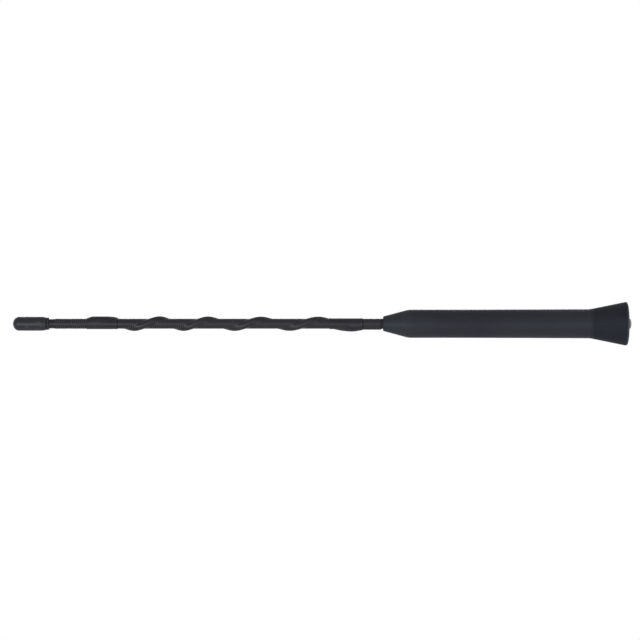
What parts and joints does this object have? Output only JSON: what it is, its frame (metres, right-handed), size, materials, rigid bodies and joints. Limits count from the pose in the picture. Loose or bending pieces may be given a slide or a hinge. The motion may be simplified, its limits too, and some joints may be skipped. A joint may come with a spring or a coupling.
{
  "type": "car mast aerial",
  "caption": "Short car roof mast aerial: slim mast with a spiral cord under its sleeve, blunt tip cap, long moulded grip and a flared hollow foot round a threaded stud.",
  "frame": {"origin": "on the stud's axis, in the plane of the foot's seat", "axes": "+Z along the mast, from the seat towards the tip; +X points to the side on which the spiral cord's upper end lies"},
  "size_m": [0.0162, 0.0162, 0.2288],
  "materials": {
    "grip_rubber": "satin",
    "shrink_sleeve": "satin",
    "cap_plastic": "satin",
    "stud_metal": "satin",
    "rod_fibreglass": "satin",
    "wire_copper": "satin",
    "cord_nylon": "satin"
  },
  "bodies": {
    "root": {"grip": "grip_rubber", "stud_fitting": "stud_metal", "fibreglass_rod": "rod_fibreglass", "aerial_wire": "wire_copper", "spiral_cord": "cord_nylon", "shrunk_sleeve": "shrink_sleeve", "lower_cord_band": "shrink_sleeve", "upper_cord_band": "shrink_sleeve", "tip_cap": "cap_plastic"}
  },
  "joints": []
}
